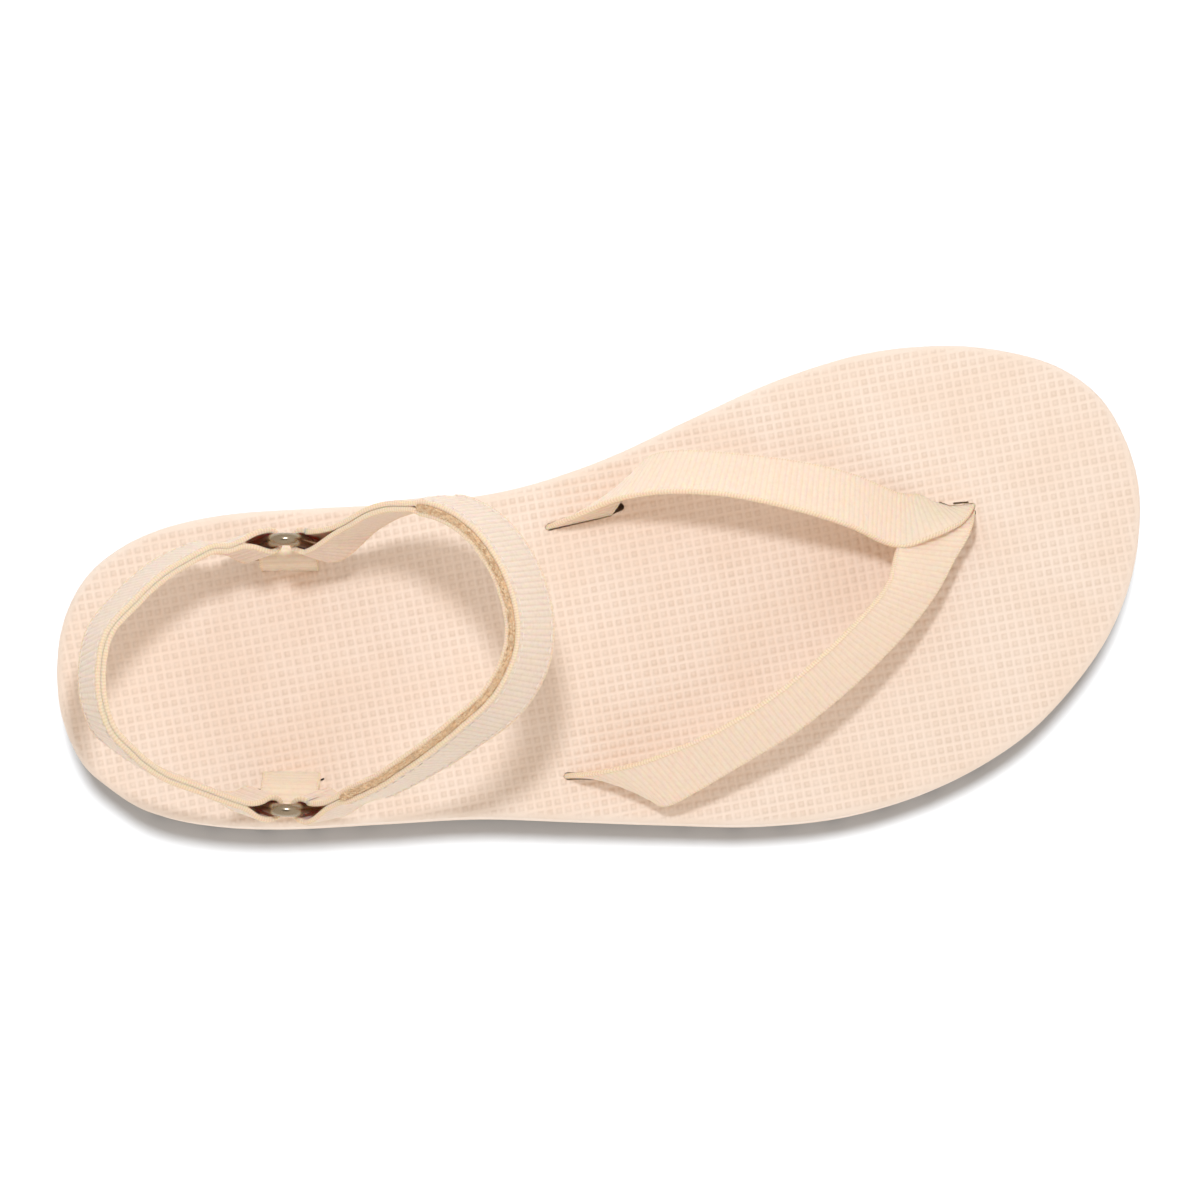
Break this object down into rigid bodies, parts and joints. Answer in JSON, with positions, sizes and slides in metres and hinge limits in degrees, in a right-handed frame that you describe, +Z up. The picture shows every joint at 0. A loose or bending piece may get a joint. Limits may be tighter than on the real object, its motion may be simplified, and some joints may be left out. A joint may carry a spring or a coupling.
{
  "type": "flatform sandal",
  "caption": "Right flatform sandal: thick moulded foam sole, ribbed webbing thong set into slits in the footbed, and a webbing ankle strap on wire rings with a hook-and-loop closure.",
  "frame": {"origin": "on the floor, under the middle of the sole's box", "axes": "+X to the toe, +Y to the inner (big toe) side of the right foot, +Z up"},
  "size_m": [0.261, 0.108, 0.0971],
  "materials": {
    "foam": "matt moulded foam, pale peach",
    "webbing": "matt ribbed webbing, cream",
    "hook_tape": "fuzzy hook-and-loop tape, tan",
    "nickel": "polished nickel plate"
  },
  "bodies": {
    "root": {"sole": "foam", "thong_strap": "webbing", "heel_strap": "webbing", "instep_strap": "webbing", "anchor_tab_inner": "webbing", "anchor_tab_outer": "webbing", "closure_tape": "hook_tape", "ring_inner": "nickel", "ring_outer": "nickel"}
  },
  "joints": []
}
